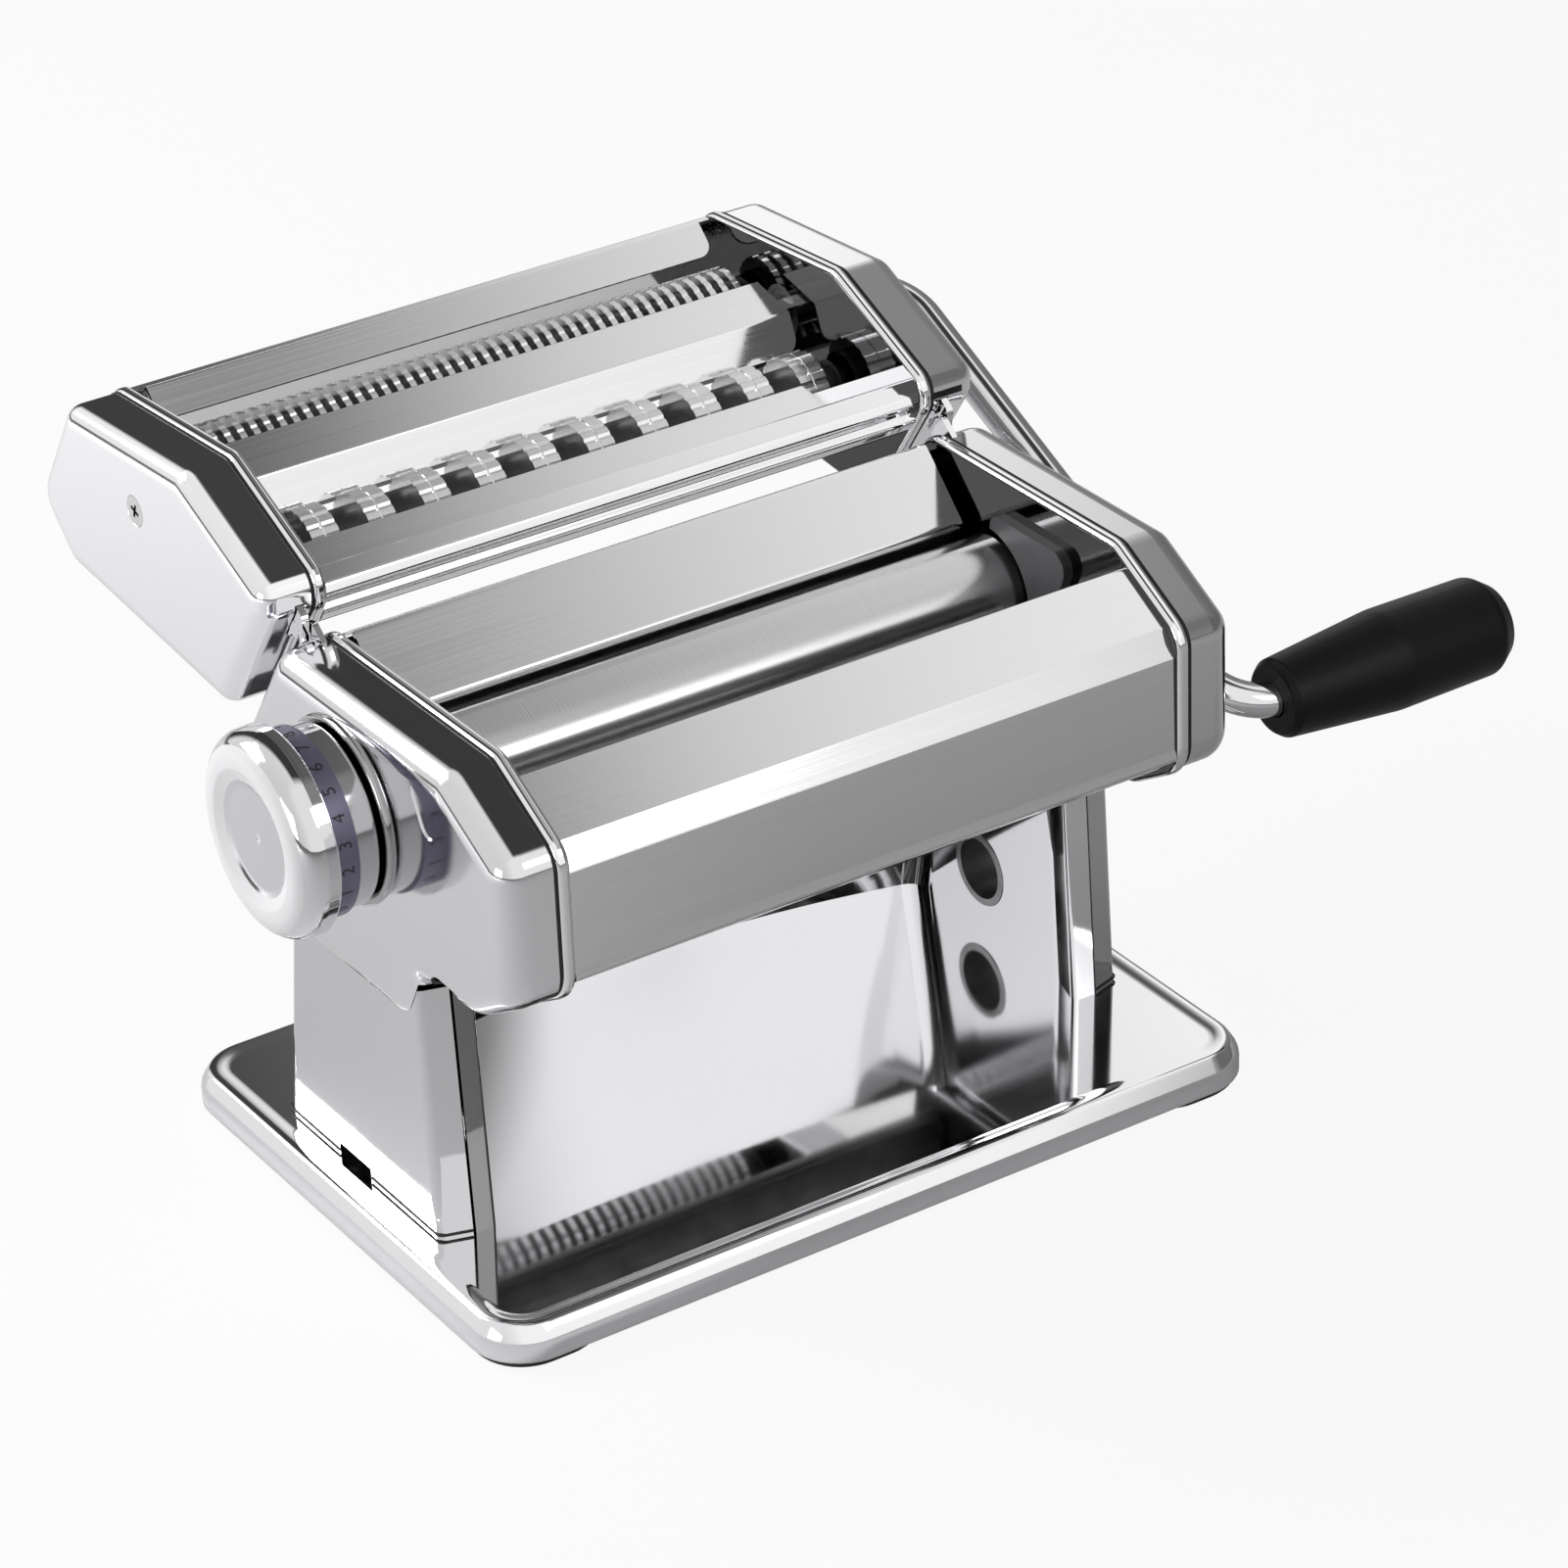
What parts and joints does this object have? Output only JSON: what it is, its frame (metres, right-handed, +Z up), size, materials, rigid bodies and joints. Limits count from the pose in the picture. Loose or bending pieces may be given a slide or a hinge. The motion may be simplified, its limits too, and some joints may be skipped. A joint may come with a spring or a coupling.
{
  "type": "pasta machine",
  "caption": "Hand-cranked dough roller on a chromed stand, with a thickness dial, a clip-on double cutter and a bent crank with a black grip",
  "frame": {"origin": "on the table, under the middle of the base plate", "axes": "+X to the crank side along the rollers, -Y to the front where the dough sheet comes out, +Z up"},
  "size_m": [0.2933, 0.1978, 0.1583],
  "materials": {
    "polished_chrome": "mirror-bright chromed sheet steel",
    "brushed_sheet": "satin steel sheet with a fine grain along the width",
    "roller_metal": "fine-turned bright rollers",
    "cutter_metal": "machined cutter rings, satin",
    "bright_steel": "plain bright steel",
    "gear_metal": "machined steel teeth, lightly oiled",
    "dial_face": "smooth pale satin cap",
    "number_band": "lilac band with dark numerals",
    "inner_plastic": "grey moulded plastic",
    "black_grip": "black satin grip",
    "rubber": "black rubber pads"
  },
  "bodies": {
    "base": {"base_plate": "polished_chrome", "rubber_feet": "rubber", "stand_inner_shell": "polished_chrome", "stand_right_skin": "polished_chrome", "stand_left_skin": "polished_chrome", "leg_anchor_blocks": "bright_steel", "frame_screws": "bright_steel", "clamp_socket": "gear_metal", "head_right_frame": "polished_chrome", "head_left_frame": "polished_chrome", "head_right_casing": "polished_chrome", "head_left_casing": "polished_chrome", "front_panel": "brushed_sheet", "rear_guide_plate": "brushed_sheet", "rear_panel": "brushed_sheet", "end_guides": "inner_plastic", "tie_rods": "bright_steel", "fixed_scraper": "bright_steel", "roller_bushes": "inner_plastic", "dial_boss": "polished_chrome"},
    "main_roller": {"fixed_roller": "roller_metal", "fixed_roller_journals": "bright_steel", "roller_drive_gear": "gear_metal"},
    "carriage": {"bearing_blocks": "inner_plastic", "carriage_bar": "bright_steel", "adjustable_scraper": "bright_steel"},
    "front_roller": {"adjustable_roller": "roller_metal", "adjustable_roller_journals": "bright_steel", "adjustable_roller_gear": "gear_metal"},
    "adjuster": {"adjuster_shaft": "bright_steel"},
    "dial": {"dial_knob": "dial_face", "number_ring": "number_band", "dial_collar": "polished_chrome", "dial_spring": "bright_steel", "dial_pin": "bright_steel"},
    "cutter": {"cutter_right_frame": "polished_chrome", "cutter_left_frame": "polished_chrome", "cutter_right_casing": "polished_chrome", "cutter_left_casing": "polished_chrome", "cutter_end_screw": "bright_steel", "cutter_back_plate": "brushed_sheet", "cutter_middle_plate": "brushed_sheet", "cutter_front_plate": "brushed_sheet", "cutter_front_bar": "polished_chrome", "cutter_tie_rod": "bright_steel", "cutter_combs": "inner_plastic", "cutter_bushes": "inner_plastic"},
    "cutter_drive": {"cutter_drive_gear": "gear_metal"},
    "idler": {"idler_gear": "gear_metal"},
    "fine_front": {"fine_cutter_front": "cutter_metal", "fine_front_gear": "gear_metal"},
    "fine_rear": {"fine_cutter_rear": "cutter_metal", "fine_rear_gear": "gear_metal"},
    "wide_front": {"wide_cutter_front": "cutter_metal", "wide_front_gear": "gear_metal"},
    "wide_rear": {"wide_cutter_rear": "cutter_metal", "wide_rear_gear": "gear_metal"},
    "crank": {"crank_rod": "polished_chrome", "grip_retaining_ring": "bright_steel"},
    "grip": {"crank_grip": "black_grip"}
  },
  "joints": [
    {"name": "roller_spin", "type": "hinge", "parent": "base", "child": "main_roller", "pos_m": [0, 0.0161, 0.0879], "axis": [1, 0, 0], "continuous": true},
    {"name": "dial_turn", "type": "hinge", "parent": "base", "child": "adjuster", "pos_m": [0, -0.0045, 0.1052], "axis": [1, 0, 0], "range_deg": [-65.6, 82]},
    {"name": "gap_slide", "type": "slide", "parent": "base", "child": "carriage", "axis": [0, 0.7658, -0.6431], "range_m": [-0.0019, 0.0024]},
    {"name": "front_roller_spin", "type": "hinge", "parent": "carriage", "child": "front_roller", "pos_m": [0, -0.0045, 0.1052], "axis": [1, 0, 0], "continuous": true},
    {"name": "dial_pull", "type": "slide", "parent": "adjuster", "child": "dial", "axis": [-1, 0, 0], "range_m": [0, 0.0045], "stiffness_N_per_m": 400, "springref_m": -0.008, "deforming": ["dial_spring"]},
    {"name": "cutter_lift", "type": "slide", "parent": "base", "child": "cutter", "axis": [0, 0, 1], "range_m": [0, 0.03]},
    {"name": "drive_spin", "type": "hinge", "parent": "cutter", "child": "cutter_drive", "pos_m": [0, 0.08, 0.1406], "axis": [1, 0, 0], "continuous": true},
    {"name": "idler_spin", "type": "hinge", "parent": "cutter", "child": "idler", "pos_m": [0, 0.08523, 0.1274], "axis": [1, 0, 0], "continuous": true},
    {"name": "fine_front_spin", "type": "hinge", "parent": "cutter", "child": "fine_front", "pos_m": [0, 0.09592, 0.13762], "axis": [1, 0, 0], "continuous": true},
    {"name": "fine_rear_spin", "type": "hinge", "parent": "cutter", "child": "fine_rear", "pos_m": [0, 0.10842, 0.12732], "axis": [1, 0, 0], "continuous": true},
    {"name": "wide_front_spin", "type": "hinge", "parent": "cutter", "child": "wide_front", "pos_m": [0, 0.061, 0.1297], "axis": [1, 0, 0], "continuous": true},
    {"name": "wide_rear_spin", "type": "hinge", "parent": "cutter", "child": "wide_rear", "pos_m": [0, 0.0735, 0.1194], "axis": [1, 0, 0], "continuous": true},
    {"name": "crank_pull", "type": "slide", "parent": "cutter_drive", "child": "crank", "axis": [1, 0, 0], "range_m": [0, 0.014]},
    {"name": "grip_spin", "type": "hinge", "parent": "crank", "child": "grip", "pos_m": [0, -0.0479, 0.0809], "axis": [1, 0, 0], "continuous": true}
  ],
  "couplings": [
    {"joint": "front_roller_spin", "follows": "roller_spin", "ratio": -1},
    {"joint": "gap_slide", "follows": "dial_turn", "m_per_rad": 0.001628},
    {"joint": "fine_front_spin", "follows": "drive_spin", "ratio": -1},
    {"joint": "fine_rear_spin", "follows": "drive_spin", "ratio": 1},
    {"joint": "idler_spin", "follows": "drive_spin", "ratio": -1.3333},
    {"joint": "wide_rear_spin", "follows": "drive_spin", "ratio": 1},
    {"joint": "wide_front_spin", "follows": "drive_spin", "ratio": -1}
  ]
}
